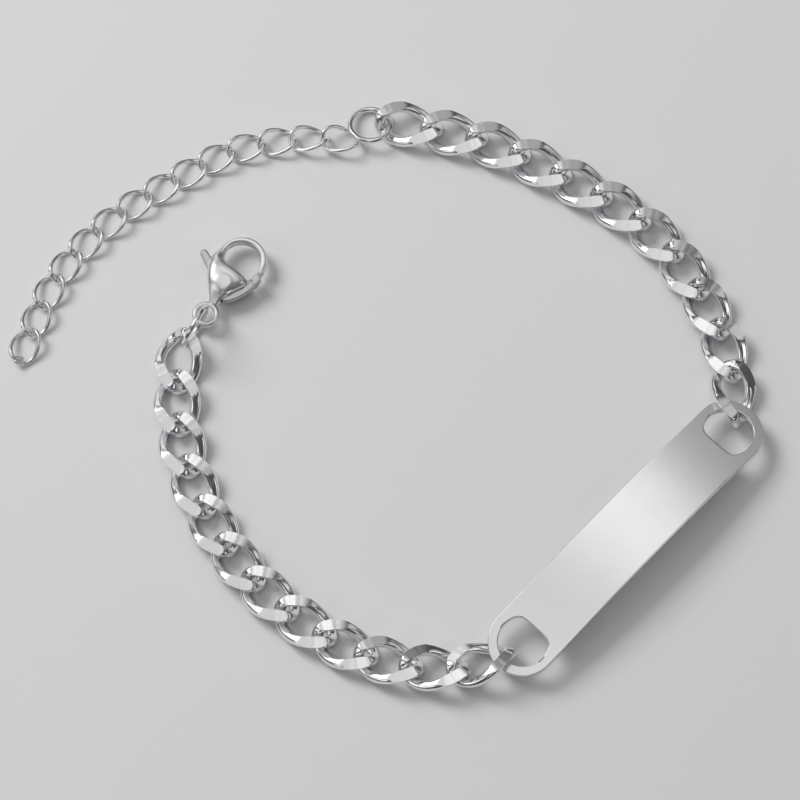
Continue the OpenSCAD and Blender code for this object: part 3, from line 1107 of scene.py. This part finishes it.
    def build_lever(self, place: Placement) -> None:
        """Make the lever with its thumb tab and its thicker nose, and cut out the bore.

        Args:
            place: Where the clasp lies.
        """
        outline = smooth_through(np.array(self.lever_points), self.lever_steps, closed=True)
        nose = np.vstack([
            self.around_pin(self.nose_to, *self.nose_top, self.nose_steps),
            [self.nose_tip],
            self.around_pin(self.nose_from + self.nose_step, *self.nose_low, self.nose_steps),
            [self.nose_heel],
        ])
        nose = smooth_through(nose, 1, closed=True)
        lever = rounded_slab(outline, self.lever_thick, self.edge)
        block = rounded_slab(nose, self.nose_thick, self.nose_edge)
        points, faces = joined(lever, block)
        placed = place.put(points)
        # The lever takes the darker steel, with the slot's shade painted into its colour
        piece = new_piece(
            "clasp_lever_polished", placed, faces, LEVER_PAINTED_SHADE_FINISH, "clasp_lever", LEVER_BODY
        )
        corners, sides = self.pin_bore(self.lever_pin_gap)
        carve(piece, [(place.put(corners), sides)])

    def build(self) -> None:
        """Make the body and the lever, and dress the rivet's own solid."""
        place = self.placement()
        self.build_body(place)
        self.build_lever(place)
        pin = frame["nodes"]["clasp_pin"].data
        pin.materials.clear()
        pin.materials.append(CLASP_FINISH.material())
        LOG.info("clasp: body, lever and rivet")


# Studio


@dataclass(frozen=True)
class Lamp:
    """A square soft box that faces the bracelet.

    azimuth, elevation and spread are in degrees. Seen from above, azimuth turns anticlockwise
    from the near side. spread is half the box's width as seen from the bracelet, and glow is the
    tone that a mirror would show. Only a box that is in_gloss shows in the steel.
    """

    name: str
    azimuth: float
    elevation: float
    spread: float
    glow: float
    in_gloss: bool = True
    distance: float = 0.8

    def place(self, target: Vector) -> None:
        """Hang the lamp on a sphere about the target and turn it to face it.

        Args:
            target: Point that the lamp faces, in metres.
        """
        a, e = math.radians(self.azimuth), math.radians(self.elevation)
        way = Vector((math.sin(a) * math.cos(e), -math.cos(a) * math.cos(e), math.sin(e)))
        light = bpy.data.lights.new(self.name, "AREA")
        light.shape, light.size = "SQUARE", 2 * self.distance * math.tan(math.radians(self.spread))
        light.energy = math.pi * self.glow * light.size**2
        lamp = add_object(self.name, light)
        lamp.location = target + self.distance * way
        lamp.rotation_euler = way.to_track_quat("Z", "Y").to_euler()
        lamp.visible_glossy = self.in_gloss


@dataclass
class Studio:
    """The pale floor, the soft lights and the camera.

    The lens and the sensor are in millimetres and the camera's elevation is in degrees.
    """

    target: Vector = field(default_factory=lambda: Vector((0.00167, -0.00063, 0.0)))
    elevation: float = 69.5
    lens: float = 200.0
    sensor: float = 36.0
    view_width: float = 0.0828
    floor_size: float = 1.2
    floor_colour: tuple[float, float, float] = (0.80, 0.80, 0.81)
    floor_roughness: float = 0.85
    sky: float = 0.07
    # Name, azimuth, elevation, spread and glow of each soft box
    lamps: tuple[Lamp, ...] = (
        Lamp("overhead", 225, 80, 26, 0.60),
        Lamp("bright_middle", 176, 67, 9, 0.42),
        Lamp("far", 165, 50, 12, 0.32),
        Lamp("key", 236, 38, 14, 2.2),
        Lamp("left_strip", 290, 32, 13, 1.3),
        Lamp("right_strip", 72, 35, 10, 1.2),
        Lamp("near_strip", 355, 38, 8, 0.9),
        Lamp("far_right", 118, 40, 12, 0.5),
        Lamp("far_low", 198, 22, 13, 0.85),
        Lamp("near_top", 350, 83, 8, 0.55),
        Lamp("floor_fill", 232, 42, 12, 8.2, in_gloss=False),
    )

    def build(self) -> None:
        """Set up the whole studio."""
        self.add_camera()
        self.add_floor()
        for lamp in self.lamps:
            lamp.place(self.target)
        world = bpy.data.worlds.new("studio")
        world.use_nodes = True
        background = world.node_tree.nodes["Background"]
        background.inputs["Color"].default_value = (self.sky, self.sky, self.sky, 1)
        bpy.context.scene.world = world
        bpy.context.scene.view_settings.view_transform = "Standard"
        LOG.info("studio: %d lamps", len(self.lamps))

    def add_camera(self) -> None:
        """Point a long lens at the target from the photographed height."""
        data = bpy.data.cameras.new("camera")
        data.lens, data.sensor_width = self.lens, self.sensor
        distance = self.view_width * self.lens / self.sensor
        e = math.radians(self.elevation)
        way = Vector((0.0, -math.cos(e), math.sin(e)))
        camera = add_object("camera", data)
        camera.location = self.target + distance * way
        camera.rotation_euler = way.to_track_quat("Z", "Y").to_euler()
        bpy.context.scene.camera = camera

    def add_floor(self) -> None:
        """Lay a plain pale floor."""
        half = self.floor_size / 2
        mesh = bpy.data.meshes.new("floor")
        corners = [(-half, -half, 0), (half, -half, 0), (half, half, 0), (-half, half, 0)]
        mesh.from_pydata(corners, [], [(0, 1, 2, 3)])
        material = bpy.data.materials.new("pale_floor")
        material.use_nodes = True
        shader = material.node_tree.nodes["Principled BSDF"]
        shader.inputs["Base Color"].default_value = (*self.floor_colour, 1)
        shader.inputs["Roughness"].default_value = self.floor_roughness
        mesh.materials.append(material)
        floor = add_object("floor", mesh)


def main() -> None:
    """Build the bracelet and the studio in order."""
    logging.basicConfig(level=logging.INFO, format="%(name)s: %(message)s")
    curb = LinkForm(
        length=7.4, width=5.0, wire=1.2, twist=55.0, depth=2.12, height=2.1, facet_lean=9.0
    )
    thin = LinkForm(length=4.36, width=3.21, wire=0.48, twist=38.0, depth=1.33, arc_steps=8)
    IdPlate().build()
    Chain("left_link", count=12, form=curb, finish=CHAIN_FINISH).build()
    Chain("right_link", count=11, form=curb, finish=CHAIN_FINISH).build()
    WireRing("jump_ring", outer=4.85, wire=0.6, finish=CHAIN_FINISH).build()
    Extender(thin).build()
    WireRing("clasp_ring", outer=5.1, wire=0.6, finish=CHAIN_FINISH).build()
    LobsterClasp().build()
    Studio().build()


if __name__ == "__main__":
    main()
